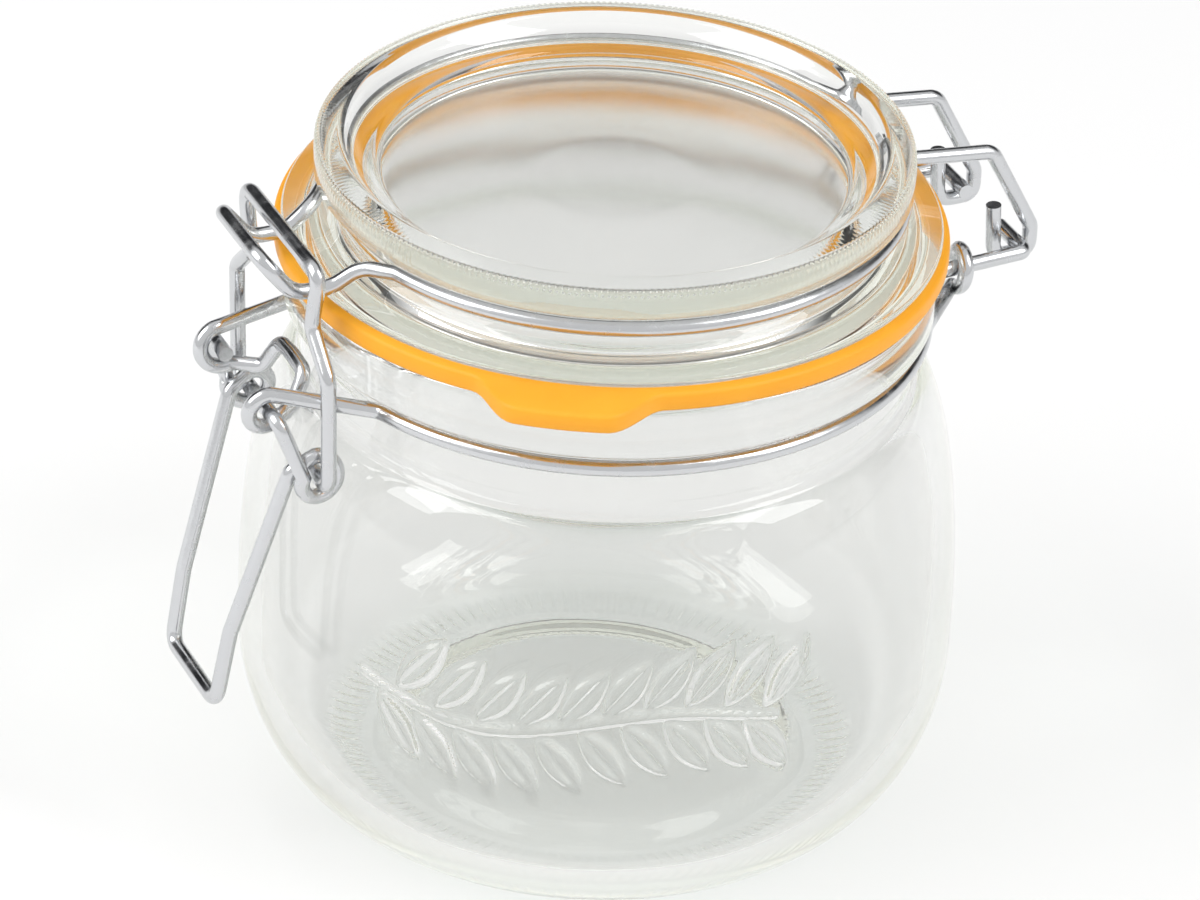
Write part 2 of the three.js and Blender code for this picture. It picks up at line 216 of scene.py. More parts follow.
SPRIG_HALF_HEIGHT = 14
SPRIG_RELIEF = 0.8
SPRIG_FINENESS = 2
SPRIG_LEAVES = 10
LEAF_HALF_LENGTH = 6.2
LEAF_HALF_WIDTH = 2.5
LEAF_SLANT = math.radians(52)
LEAF_BEVEL = 0.9
VEIN_HALF_WIDTH = 0.7
VEIN_DEPTH = 0.45
STEM_HALF_WIDTH = 0.9
STEM_TAPER = 1.3
STEM_WAVE_HEIGHT = 2.2
STEM_WAVE_LENGTH = 9
LEAF_ROOT_SPAN = 0.86
LEAF_ROOT_STAGGER = 1.6
LEAF_STALK = 0.8
SPRIG_MARGIN = 3
SIDE_LEAN = 0.12
WIRE_R = 1.15
GAP = 0.3
NECK_WIRE_R = 46.3
NECK_WIRE_Z = 78.6
GLASS_COLOUR = (0.905, 0.906, 0.9, 1)
GLASS_DEPTH_COLOUR = (0.785, 0.845, 0.79, 1)
GLASS_DEPTH = 9
GLASS_SHADOW_COLOUR = (0.96, 0.97, 0.965, 1)
GLASS_SHADOW_LIMITS = (("Is Shadow Ray", 0.5), ("Is Diffuse Ray", 0.5))
GLASS_DULLNESS = 0.18
GLASS_DULL_FADE = 0.0003
GLASS_IOR = 1.52
GLASS_RIPPLE_SCALE = 55
GLASS_RIPPLE_STRENGTH = 0.08
GLASS_RIPPLE_HEIGHT = 0.001
# Painted gleam: the colour and share of the pale diffuse surface that deep ray paths in the glass turn
# into, standing in for real light through it.
GLASS_PAINTED_GLEAM_COLOUR = (0.96, 0.94, 0.88, 1)
GLASS_PAINTED_GLEAM_SHARE = 0.95
GLASS_DEEP_LIMITS = (("Glossy Depth", 2.5), ("Ray Depth", 8.5))


def arc(centre_r, centre_z, half_r, half_z, from_deg, to_deg, steps):
    """Points of a stretch of an ellipse in a profile, both ends included."""
    angles = np.radians(np.linspace(from_deg, to_deg, steps + 1))
    return [(centre_r + half_r * math.cos(a), centre_z + half_z * math.sin(a)) for a in angles]


def turned_grid(profile, segments):
    """Rows of points, one row for each profile point, turned round the Z axis, in millimetres."""
    angles = np.linspace(0, 2 * math.pi, segments, endpoint=False)
    r = np.array([p[0] for p in profile])[:, None]
    z = np.array([p[1] for p in profile])[:, None]
    return np.stack([r * np.cos(angles), r * np.sin(angles), z + 0 * angles], axis=2), angles


def faces_outwards(mesh):
    shaping = bmesh.new()
    shaping.from_mesh(mesh)
    bmesh.ops.recalc_face_normals(shaping, faces=shaping.faces)
    shaping.to_mesh(mesh)
    shaping.free()
    smooth_faces(mesh)


def smooth_faces(mesh):
    for polygon in mesh.polygons:
        polygon.use_smooth = True


def closed_turning(name, grid):
    """A closed mesh from a grid whose first and last rows lie on the axis."""
    rows, segments = grid.shape[:2]
    inner = grid[1:-1].reshape(-1, 3) * MM
    points = [tuple(grid[0, 0] * MM), *map(tuple, inner), tuple(grid[-1, 0] * MM)]
    faces = []
    count = rows - 2
    for s in range(segments):
        t = (s + 1) % segments
        faces.append((0, 1 + t, 1 + s))
        last = 1 + (count - 1) * segments
        faces.append((last + s, last + t, len(points) - 1))
    for row in range(count - 1):
        low = 1 + row * segments
        for s in range(segments):
            t = (s + 1) % segments
            faces.append((low + s, low + t, low + segments + t, low + segments + s))
    mesh = bpy.data.meshes.new(name)
    mesh.from_pydata(points, [], faces)
    faces_outwards(mesh)
    return mesh


def clear_glass(name, colour, dull_below=None, dull_within=None):
    """Clear soda glass, faintly green where it is thick, that lets the soft boxes' light through.

    Where a ray has gone to and fro inside it many times, it turns mostly into a pale diffuse surface, a
    painted gleam in place of the light those paths would carry, not black.
    Below a height and within a radius, in metres, the mould has left the surface less bright.
    """
    material = bpy.data.materials.new(name)
    material.use_nodes = True
    nodes = material.node_tree.nodes
    links = material.node_tree.links
    shader = nodes["Principled BSDF"]
    shader.inputs["Base Color"].default_value = colour
    shader.inputs["Roughness"].default_value = 0.0
    shader.inputs["IOR"].default_value = GLASS_IOR
    shader.inputs["Transmission Weight"].default_value = 1.0
    place = nodes.new("ShaderNodeTexCoord")
    ripple = nodes.new("ShaderNodeTexNoise")
    ripple.inputs["Scale"].default_value = GLASS_RIPPLE_SCALE
    ripple.inputs["Detail"].default_value = 1
    bump = nodes.new("ShaderNodeBump")
    bump.inputs["Strength"].default_value = GLASS_RIPPLE_STRENGTH
    bump.inputs["Distance"].default_value = GLASS_RIPPLE_HEIGHT
    links.new(place.outputs["Object"], ripple.inputs["Vector"])
    links.new(ripple.outputs["Fac"], bump.inputs["Height"])
    links.new(bump.outputs["Normal"], shader.inputs["Normal"])
    if dull_below is not None:
        height = nodes.new("ShaderNodeSeparateXYZ")
        links.new(place.outputs["Object"], height.inputs[0])
        level = nodes.new("ShaderNodeVectorMath")
        level.operation = "MULTIPLY"
        level.inputs[1].default_value = (1, 1, 0)
        links.new(place.outputs["Object"], level.inputs[0])
        radius = nodes.new("ShaderNodeVectorMath")
        radius.operation = "LENGTH"
        links.new(level.outputs["Vector"], radius.inputs[0])
        low = nodes.new("ShaderNodeMapRange")
        within = nodes.new("ShaderNodeMapRange")
        for fade, place_value, edge in (
            (low, height.outputs["Z"], dull_below),
            (within, radius.outputs["Value"], dull_within),
        ):
            fade.inputs["From Min"].default_value = edge - GLASS_DULL_FADE
            fade.inputs["From Max"].default_value = edge
            fade.inputs["To Min"].default_value = 1.0
            fade.inputs["To Max"].default_value = 0.0
            links.new(place_value, fade.inputs["Value"])
        both = nodes.new("ShaderNodeMath")
        both.operation = "MULTIPLY"
        links.new(low.outputs["Result"], both.inputs[0])
        links.new(within.outputs["Result"], both.inputs[1])
        dull = nodes.new("ShaderNodeMath")
        dull.operation = "MULTIPLY"
        dull.inputs[1].default_value = GLASS_DULLNESS
        links.new(both.outputs[0], dull.inputs[0])
        links.new(dull.outputs[0], shader.inputs["Roughness"])
    rays = nodes.new("ShaderNodeLightPath")

    def any_over(limits):
        """Is any of these counts of the light path over its limit?"""
        result = None
        for count, most in limits:
            over = nodes.new("ShaderNodeMath")
            over.operation = "GREATER_THAN"
            over.inputs[1].default_value = most
            links.new(rays.outputs[count], over.inputs[0])
            if result is None:
                result = over.outputs[0]
                continue
            either = nodes.new("ShaderNodeMath")
            either.operation = "MAXIMUM"
            links.new(result, either.inputs[0])
            links.new(over.outputs[0], either.inputs[1])
            result = either.outputs[0]
        return result

    def mixed(share, first, second):
        mix = nodes.new("ShaderNodeMixShader")
        if isinstance(share, float):
            mix.inputs["Fac"].default_value = share
        else:
            links.new(share, mix.inputs["Fac"])
        links.new(first, mix.inputs[1])
        links.new(second, mix.inputs[2])
        return mix.outputs["Shader"]

    through = nodes.new("ShaderNodeBsdfTransparent")
    through.inputs["Color"].default_value = GLASS_SHADOW_COLOUR
    # Painted gleam: on deep ray paths a pale diffuse surface takes over from the glass, in place of the
    # light the glass would carry.
    pale = nodes.new("ShaderNodeBsdfDiffuse")
    pale.inputs["Color"].default_value = GLASS_PAINTED_GLEAM_COLOUR
    links.new(bump.outputs["Normal"], pale.inputs["Normal"])
    deep = mixed(GLASS_PAINTED_GLEAM_SHARE, through.outputs["BSDF"], pale.outputs["BSDF"])
    seen = mixed(any_over(GLASS_DEEP_LIMITS), shader.outputs["BSDF"], deep)
    lit = mixed(any_over(GLASS_SHADOW_LIMITS), seen, through.outputs["BSDF"])
    output = nodes["Material Output"]
    links.new(lit, output.inputs["Surface"])
    depth = nodes.new("ShaderNodeVolumeAbsorption")
    depth.inputs["Color"].default_value = GLASS_DEPTH_COLOUR
    depth.inputs["Density"].default_value = GLASS_DEPTH
    links.new(depth.outputs["Volume"], output.inputs["Volume"])
    return material


def smooth_step(x):
    x = np.clip(x, 0, 1)
    return x * x * (3 - 2 * x)


def jar_profile():
    groove = WIRE_R + GAP
    inner_r = BODY_R - WALL
    lip_z = MOUTH_TOP_Z - LIP_ROUND
    shoulder = SHOULDER_END_Z - SHOULDER_START_Z
    belt_z = (HEEL_TOP_Z + SHOULDER_START_Z) / 2
    outer = [
        (0, PUSH_UP),
        (PUSH_UP_EDGE_R - 6, PUSH_UP),
        *[(r, PUSH_UP * smooth_step((FOOT_INNER_R - r) / (FOOT_INNER_R - PUSH_UP_EDGE_R)))
          for r in np.linspace(PUSH_UP_EDGE_R, FOOT_INNER_R, 9)],
        (HEEL_CONTACT_R - 1.3, 0),
        *arc(HEEL_CONTACT_R, HEEL_TOP_Z, BODY_R - HEEL_CONTACT_R, HEEL_TOP_Z, -90, 0, 34),
        (BODY_R, belt_z),
        *arc(SHOULDER_R, SHOULDER_START_Z, BODY_R - SHOULDER_R, shoulder, 0, SHOULDER_SWEEP, 44),
        (NECK_R, SHOULDER_END_Z + 1.6),
        (NECK_R, SHOULDER_END_Z + 4),
        (NECK_R, NECK_WIRE_Z - groove - 0.6),
        *arc(NECK_WIRE_R, NECK_WIRE_Z, groove, groove, 232, 135, 8),
        *arc(BEAD_R - BEAD_ROUND, BEAD_BOTTOM_Z + 1, BEAD_ROUND, BEAD_ROUND, -70, 0, 5),
        (BEAD_R, MOUTH_TOP_Z - 4),
        *arc(BEAD_R - LIP_ROUND, lip_z, LIP_ROUND, LIP_ROUND, 0, 90, 6),
    ]
    inner = [
        *arc(MOUTH_R + LIP_ROUND, lip_z, LIP_ROUND, LIP_ROUND, 90, 180, 6),
        (MOUTH_R, NECK_WIRE_Z),
        (MOUTH_R, SHOULDER_END_Z + 1),
        *arc(MOUTH_R, SHOULDER_START_Z, inner_r - MOUTH_R, shoulder - 1.5, SHOULDER_SWEEP, 0, 15),
        (inner_r, belt_z),
        *arc(HEEL_CONTACT_R, HEEL_TOP_Z, inner_r - HEEL_CONTACT_R, HEEL_TOP_Z - FLOOR_Z, 0, -90, 16),
        (HEEL_CONTACT_R - 8, FLOOR_Z + 0.12),
        (HEEL_CONTACT_R - 22, FLOOR_Z + 0.75 * FLOOR_RISE),
        (0, FLOOR_Z + FLOOR_RISE),
    ]
    return outer, inner


def add_base_ribs(grid, angles, rows):
    """Fine radial ribs round the heel that the jar stands on."""
    wave = 0.5 + 0.5 * np.cos(BASE_RIBS * angles)
    r = np.hypot(grid[:rows, :, 0], grid[:rows, :, 1])
    near = np.clip(1 - np.abs(r - BASE_RIB_R) / BASE_RIB_HALF_LENGTH, 0, 1) ** 0.5
    near = near * (grid[:rows, :, 2] < FLOOR_Z)
    grid[:rows, :, 2] += BASE_RIB_DEPTH * near * wave


def stem_height(across):
    return STEM_WAVE_HEIGHT * np.sin(across / STEM_WAVE_LENGTH)


def sprig_shape(across, up):
    """How far each place belongs to the sprig, 0 to 1: a waving stem with leaves on both sides."""
    tapered = STEM_HALF_WIDTH * np.clip(STEM_TAPER - np.abs(across) / SPRIG_HALF_LENGTH, 0, 1)
    shape = smooth_step((tapered - np.abs(up - stem_height(across))) / STEM_HALF_WIDTH + 0.5)
    shape = shape * (np.abs(across) < SPRIG_HALF_LENGTH)
    for i in range(SPRIG_LEAVES):
        root = LEAF_ROOT_SPAN * SPRIG_HALF_LENGTH * (2 * i / (SPRIG_LEAVES - 1) - 1)
        for side in (-1, 1):
            reach = LEAF_HALF_LENGTH + LEAF_STALK
            middle_across = root + side * LEAF_ROOT_STAGGER + reach * math.cos(LEAF_SLANT)
            middle_up = stem_height(root) + side * reach * math.sin(LEAF_SLANT)
            along = ((across - middle_across) * math.cos(LEAF_SLANT)
                     + (up - middle_up) * side * math.sin(LEAF_SLANT))
            aside = ((up - middle_up) * math.cos(LEAF_SLANT)
                     - (across - middle_across) * side * math.sin(LEAF_SLANT))
            leaf_half_width = LEAF_HALF_WIDTH * np.clip(1 - (along / LEAF_HALF_LENGTH) ** 2, 0, 1)
            blade = smooth_step((leaf_half_width - np.abs(aside)) / LEAF_BEVEL)
            in_vein = np.abs(along) < LEAF_HALF_LENGTH - LEAF_BEVEL
            vein = VEIN_DEPTH * smooth_step(1 - np.abs(aside) / VEIN_HALF_WIDTH) * in_vein
            shape = np.maximum(shape, blade - vein * blade)
    return shape


def place_on_side(points):
    """Where points on the jar's side lie beside the sprig's middle: across, up and radius, all in mm."""
    x, y, z = np.array(points).reshape(-1, 3).T / MM
    turned = (np.arctan2(y, x) - SPRIG_ANGLE + math.pi) % (2 * math.pi) - math.pi
    return BODY_R * turned, z - SPRIG_Z, np.hypot(x, y)


def on_outside(up, r):
    """Is it the jar's outer face, not its inner one? Both draw in towards the shoulder."""
    return (r > BODY_R - WALL / 2 - SIDE_LEAN * np.abs(up)) & (np.abs(up) < SPRIG_HALF_HEIGHT)


def raise_sprig(mesh):
    """Raise the sprig on the outside of the jar, on faces made finer there to carry it."""
    shaping = bmesh.new()
    shaping.from_mesh(mesh)
    across, up, r = place_on_side([v.co for v in shaping.verts])
    near = on_outside(up, r) & (np.abs(across) < SPRIG_HALF_LENGTH + SPRIG_MARGIN)
    edges = [e for e in shaping.edges if near[e.verts[0].index] and near[e.verts[1].index]]
    bmesh.ops.subdivide_edges(shaping, edges=edges, cuts=SPRIG_FINENESS, use_grid_fill=True)
    across, up, r = place_on_side([v.co for v in shaping.verts])
    lift = SPRIG_RELIEF * sprig_shape(across, up) * on_outside(up, r)
    for vertex, rise, radius in zip(shaping.verts, lift, r):
        if rise > 0:
            vertex.co.x *= 1 + rise / radius
            vertex.co.y *= 1 + rise / radius
    shaping.to_mesh(mesh)
    shaping.free()
    smooth_faces(mesh)


jar_outer, jar_inner = jar_profile()
jar_grid, jar_angles = turned_grid(jar_outer + jar_inner, JAR_SEGMENTS)
add_base_ribs(jar_grid, jar_angles, len(jar_outer))
jar = link(bpy.data.objects.new("jar_glass", closed_turning("jar_glass", jar_grid)))
raise_sprig(jar.data)
jar.data.materials.append(clear_glass("clear_glass", GLASS_COLOUR))
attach(jar, "jar")
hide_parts("glass_jar")


# Glass lid
# One pressed piece: a plug that drops into the mouth, a flange that bears on the rubber, a groove for
# the lid wire, and a thick rim with fine ribs round its outer edge and a sunk flat disc inside it.
LID_SEGMENTS = 1200
LID_RIBS = 300
LID_RIB_HEIGHT = 0.2
LID_RIB_SPREAD = 1.0
RUBBER_BOTTOM_Z = MOUTH_TOP_Z + GAP
RUBBER_THICK = 2.9
FLANGE_BOTTOM_Z = RUBBER_BOTTOM_Z + RUBBER_THICK + GAP
FLANGE_R = 48
FLANGE_SLOPE_R = 44.8
LID_NECK_R = 43.2
LID_NECK_TOP_R = 42.2
PLUG_R = 40.4
PLUG_INNER_R = 37
PLUG_BOTTOM_Z = 90.4
PLUG_ROUND = 0.4
PLUG_INNER_ROUND = 0.35
FLANGE_ROUND = 0.6
LID_WIRE_R = 42
LID_WIRE_Z = 98.7
LID_RIM_R = 43.4
LID_TOP_Z = 105.75
LID_RIM_ROUND_Z = 105.05
DISC_R = 33.8
DISC_TOP_Z = 101.1
DISC_BOTTOM_Z = 96.1
UNDERSIDE_FLAT_R = 13
LID_COLOUR = (0.945, 0.945, 0.935, 1)
UNDERSIDE_EDGE = (34, 94.4)


def lid_profile():
    groove = WIRE_R + GAP
    return [
        (0, DISC_BOTTOM_Z),
        (UNDERSIDE_FLAT_R - 2, DISC_BOTTOM_Z),
        (UNDERSIDE_FLAT_R, DISC_BOTTOM_Z - 0.06),
        (UNDERSIDE_FLAT_R + 2, DISC_BOTTOM_Z - 0.22),
        (UNDERSIDE_EDGE[0] - 1.5, UNDERSIDE_EDGE[1] + 0.16),
        UNDERSIDE_EDGE,
        (PLUG_INNER_R - 1.4, UNDERSIDE_EDGE[1] - 0.2),
        (PLUG_INNER_R - 1.05, UNDERSIDE_EDGE[1] - 0.6),
        (PLUG_INNER_R - 0.9, PLUG_BOTTOM_Z + 1.2),
        *arc(PLUG_INNER_R - 0.5, PLUG_BOTTOM_Z + PLUG_INNER_ROUND,
             PLUG_INNER_ROUND, PLUG_INNER_ROUND, 180, 270, 3),
        *arc(PLUG_R - PLUG_ROUND, PLUG_BOTTOM_Z + PLUG_ROUND, PLUG_ROUND, PLUG_ROUND, -90, 0, 3),
        (PLUG_R + 0.2, FLANGE_BOTTOM_Z - 0.4),
        (PLUG_R + 0.6, FLANGE_BOTTOM_Z),
        *arc(FLANGE_R - FLANGE_ROUND, FLANGE_BOTTOM_Z + FLANGE_ROUND,
             FLANGE_ROUND, FLANGE_ROUND, -90, 70, 6),
        (FLANGE_SLOPE_R, FLANGE_BOTTOM_Z + 1.6),
        (LID_NECK_R, FLANGE_BOTTOM_Z + 2.3),
        (LID_NECK_TOP_R, LID_WIRE_Z - 2.4),
        *arc(LID_WIRE_R, LID_WIRE_Z, groove, groove, 232, 112, 8),
        (LID_RIM_R - 0.8, LID_WIRE_Z + 1.6),
        (LID_RIM_R, LID_WIRE_Z + 2.4),
        (LID_RIM_R + 0.02, LID_TOP_Z - 1.9),
        *arc(LID_RIM_R - 0.9, LID_TOP_Z - 0.95, 0.9, 0.7, -20, 90, 6),
        *arc(LID_RIM_R - 3.3, LID_TOP_Z - 1.2, 1.4, 1.2, 90, 160, 5),
        (DISC_R + 3.2, DISC_TOP_Z + 1.9),
        (DISC_R + 1.4, DISC_TOP_Z + 0.9),
        *arc(DISC_R - 0.2, DISC_TOP_Z + 0.6, 0.9, 0.6, -10, -90, 4),
        (DISC_R - 3, DISC_TOP_Z),
        (0, DISC_TOP_Z),
    ]


def add_rim_ribs(grid, angles):
    """Small ribs side by side along the rim's upper outer edge."""
    wave = 0.5 + 0.5 * np.cos(LID_RIBS * angles)
    r = np.hypot(grid[:, :, 0], grid[:, :, 1])
    away = np.hypot(r - LID_RIM_R, grid[:, :, 2] - LID_RIM_ROUND_Z)
    dent = LID_RIB_HEIGHT * np.clip(1 - away / LID_RIB_SPREAD, 0, 1) * wave
    grid[:, :, 2] -= dent
    grid[:, :, :2] *= (1 - dent / np.maximum(r, 1))[:, :, None]


lid_grid, lid_angles = turned_grid(lid_profile(), LID_SEGMENTS)
add_rim_ribs(lid_grid, lid_angles)
lid = link(bpy.data.objects.new("lid_glass", closed_turning("lid_glass", lid_grid)))
lid_glass = clear_glass("clear_glass_lid", LID_COLOUR, (DISC_BOTTOM_Z + 1) * MM, UNDERSIDE_EDGE[0] * MM)
lid.data.materials.append(lid_glass)
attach(lid, "jar")
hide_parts("glass_lid")


# Rubber ring
# A flat orange rubber washer, moulded in one with a pull tab, squeezed between lid and jar. Its
# edges are slightly round and its faces have the dull bloom of natural rubber.
RUBBER_INNER_R = 41.2
RUBBER_OUTER_R = 49
TAB_ANGLE = math.radians(238)
TAB_REACH = 6
TAB_ROOT_HALF_ANGLE = math.radians(16)
TAB_TIP_HALF_ANGLE = math.radians(6.8)
RUBBER_COLOUR = (0.96, 0.43, 0.028, 1)
RUBBER_SHADE = (0.88, 0.36, 0.016, 1)
RUBBER_GLOW = 0.12
RUBBER_GLOW_REACH = (0.003, 0.0012, 0.0003)
RUBBER_SPECULAR = 0.35
RUBBER_BLOOM_SCALE = 120
RUBBER_ROUGHNESS = (0.38, 0.58)
RUBBER_GRAIN_SCALE = 1800
RUBBER_GRAIN_STRENGTH = 0.12
RUBBER_GRAIN_HEIGHT = 0.0002
RUBBER_STEPS = 360
RUBBER_ROUND = 0.55


def rubber_outline():
    """The ring's outer radius at each angle, with the tab blended into it."""
    angles = np.linspace(0, 2 * math.pi, RUBBER_STEPS, endpoint=False)
    off = np.abs((angles - TAB_ANGLE + math.pi) % (2 * math.pi) - math.pi)
    share = (TAB_ROOT_HALF_ANGLE - off) / (TAB_ROOT_HALF_ANGLE - TAB_TIP_HALF_ANGLE)
    return angles, RUBBER_OUTER_R + TAB_REACH * smooth_step(share)


def rubber_mesh():
    angles, outer = rubber_outline()
    half = RUBBER_THICK / 2
    middle = RUBBER_BOTTOM_Z + half
    low_edge = [
        (0, -half + RUBBER_ROUND),
        (0.3 * RUBBER_ROUND, -half + 0.3 * RUBBER_ROUND),
        (RUBBER_ROUND, -half),
    ]
    inner_low = [(off, dz, False) for off, dz in low_edge]
    outer_low = [(-off, dz, True) for off, dz in reversed(low_edge)]
    outer_high = [(-off, -dz, True) for off, dz in low_edge]
    inner_high = [(off, -dz, False) for off, dz in reversed(low_edge)]
    rows = []
    for off, dz, is_outer in inner_low + outer_low + outer_high + inner_high:
        r = (outer if is_outer else np.full_like(outer, RUBBER_INNER_R)) + off
        z = np.full_like(r, middle + dz)
        rows.append(np.stack([r * np.cos(angles), r * np.sin(angles), z], axis=1))
    grid = np.array(rows)
    count, steps = grid.shape[:2]
    points = [tuple(p * MM) for p in grid.reshape(-1, 3)]
    faces = []
    for i in range(count):
        j = (i + 1) % count
        for s in range(steps):
            t = (s + 1) % steps
            faces.append((i * steps + s, i * steps + t, j * steps + t, j * steps + s))
    mesh = bpy.data.meshes.new("ring_rubber")
    mesh.from_pydata(points, [], faces)
    faces_outwards(mesh)
    return mesh


def orange_rubber():
    material = bpy.data.materials.new("orange_rubber")
    material.use_nodes = True
    nodes = material.node_tree.nodes
    links = material.node_tree.links
    shader = nodes["Principled BSDF"]
    shader.inputs["Subsurface Weight"].default_value = RUBBER_GLOW
    shader.inputs["Subsurface Radius"].default_value = RUBBER_GLOW_REACH
    shader.inputs["Specular IOR Level"].default_value = RUBBER_SPECULAR
    place = nodes.new("ShaderNodeTexCoord")
    bloom = nodes.new("ShaderNodeTexNoise")
    bloom.inputs["Scale"].default_value = RUBBER_BLOOM_SCALE
    bloom.inputs["Detail"].default_value = 4
    colours = nodes.new("ShaderNodeMix")
    colours.data_type = "RGBA"
    colours.inputs["A"].default_value = RUBBER_SHADE
    colours.inputs["B"].default_value = RUBBER_COLOUR
    dull = nodes.new("ShaderNodeMapRange")
    dull.inputs["To Min"].default_value = RUBBER_ROUGHNESS[0]
    dull.inputs["To Max"].default_value = RUBBER_ROUGHNESS[1]
    grain = nodes.new("ShaderNodeTexNoise")
    grain.inputs["Scale"].default_value = RUBBER_GRAIN_SCALE
    bump = nodes.new("ShaderNodeBump")
    bump.inputs["Strength"].default_value = RUBBER_GRAIN_STRENGTH
    bump.inputs["Distance"].default_value = RUBBER_GRAIN_HEIGHT
    for texture in (bloom, grain):
        links.new(place.outputs["Object"], texture.inputs["Vector"])
    links.new(bloom.outputs["Fac"], colours.inputs["Factor"])
    links.new(colours.outputs["Result"], shader.inputs["Base Color"])
    links.new(bloom.outputs["Fac"], dull.inputs["Value"])
    links.new(dull.outputs["Result"], shader.inputs["Roughness"])
    links.new(grain.outputs["Fac"], bump.inputs["Height"])
    links.new(bump.outputs["Normal"], shader.inputs["Normal"])
    return material


ring = link(bpy.data.objects.new("ring_rubber", rubber_mesh()))
ring.data.materials.append(orange_rubber())
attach(ring, "jar")
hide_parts("rubber_ring")


# Neck wire
# Zinc-plated steel wire bent cold in one length: round the neck from one hinge eye to the other,
# with an eye on each side of the front bridge that carries an end of the lever.
WIRE_SIDES = 20
BEND_R = 2.6
LEVER_EYE_R = 2.9
COIL_PITCH = 2 * WIRE_R + 0.35
LEVER_PIVOT = Vector((-57.2, 0, 77.7))
LEVER_EYE_Y = 9.4
HINGE_LEG_Y = 13.6
HINGE_EYE_R = 2.75
HINGE_EYE = Vector((50.4, 0, NECK_WIRE_Z + HINGE_EYE_R))
BRIDGE_X = -49.7
BRIDGE_Z = 80
BRIDGE_END = Vector((BRIDGE_X, -4.6, 79.6))
BRIDGE_RAMP = Vector((-51.9, -5.8, 75.3))
EYE_EXIT_R = 4
GROOVE_EXIT_R = 12
END_BEVEL = 0.25
END_NARROWING = 0.78
WIRE_COLOUR = (0.62, 0.63, 0.645, 1)
WIRE_PATCH_SCALE = 420
WIRE_PATCH_RANGE = (0.3, 0.7)
WIRE_ROUGHNESS = (0.12, 0.3)
WIRE_GRAIN_SCALE = 2600
WIRE_GRAIN_STRENGTH = 0.1
WIRE_GRAIN_HEIGHT = 0.0001
AXIS_X = Vector((1, 0, 0))
AXIS_Y = Vector((0, 1, 0))
AXIS_Z = Vector((0, 0, 1))


def bent(corners, radius=BEND_R, steps=10):
    """A centre line through the corners, each inner corner bent to a radius."""
    corners = [Vector(c) for c in corners]
    points = [corners[0]]
    for back, here, ahead in zip(corners, corners[1:], corners[2:]):
        to_back = back - here
        to_ahead = ahead - here
        half = to_back.angle(to_ahead) / 2
        room = 0.45 * min(to_back.length, to_ahead.length)
        reach = min(radius / math.tan(half), room)
        start = here + to_back.normalized() * reach
        end = here + to_ahead.normalized() * reach
        for i in range(steps + 1):
            t = i / steps
            points.append((1 - t) ** 2 * start + 2 * t * (1 - t) * here + t * t * end)
    points.append(corners[-1])
    return points


def coil(centre, across, up, along, radius, from_deg, to_deg, pitch, steps=40):
    """Turns of a coil about a line, advancing evenly along it."""
    points = []
    for a in np.linspace(math.radians(from_deg), math.radians(to_deg), steps + 1):
        advance = pitch * abs(a - math.radians(from_deg)) / (2 * math.pi)
        round_it = across * (radius * math.cos(a)) + up * (radius * math.sin(a))
        points.append(centre + round_it + along * advance)
    return points


def level_arc(radius, z, from_deg, to_deg, steps=72):
    angles = np.radians(np.linspace(from_deg, to_deg, steps + 1))
    return [Vector((radius * math.cos(a), radius * math.sin(a), z)) for a in angles]


def mirrored(front_half):
    """The whole centre line, from its front half, which ends on the XZ plane."""
    back_half = [Vector((p.x, -p.y, p.z)) for p in reversed(front_half)]
    if abs(front_half[-1].y) < 1e-6:
        back_half = back_half[1:]
    return front_half + back_half


def wire_tree():
    """Geometry Nodes: a round wire swept along a curve, its cut ends filled."""
    tree = bpy.data.node_groups.new("round_wire", "GeometryNodeTree")
    tree.interface.new_socket("Route", in_out="INPUT", socket_type="NodeSocketGeometry")
    tree.interface.new_socket("Wire radius", in_out="INPUT", socket_type="NodeSocketFloat")
    tree.interface.new_socket("Sides", in_out="INPUT", socket_type="NodeSocketInt")
    tree.interface.new_socket("Finish", in_out="INPUT", socket_type="NodeSocketMaterial")
    tree.interface.new_socket("Wire", in_out="OUTPUT", socket_type="NodeSocketGeometry")
    nodes = tree.nodes
    entry = nodes.new("NodeGroupInput")
    section = nodes.new("GeometryNodeCurvePrimitiveCircle")
    sweep = nodes.new("GeometryNodeCurveToMesh")
    sweep.inputs["Fill Caps"].default_value = True
    smooth = nodes.new("GeometryNodeSetShadeSmooth")
    real = nodes.new("GeometryNodeRealizeInstances")
    finish = nodes.new("GeometryNodeSetMaterial")
    leave = nodes.new("NodeGroupOutput")
    tree.links.new(entry.outputs["Route"], sweep.inputs["Curve"])
    tree.links.new(entry.outputs["Wire radius"], section.inputs["Radius"])
    tree.links.new(entry.outputs["Sides"], section.inputs["Resolution"])
    tree.links.new(section.outputs["Curve"], sweep.inputs["Profile Curve"])
    tree.links.new(sweep.outputs["Mesh"], smooth.inputs["Geometry"])
    tree.links.new(smooth.outputs["Geometry"], real.inputs["Geometry"])
    tree.links.new(real.outputs["Geometry"], finish.inputs["Geometry"])
    tree.links.new(entry.outputs["Finish"], finish.inputs["Material"])
    tree.links.new(finish.outputs["Geometry"], leave.inputs["Wire"])
    return tree


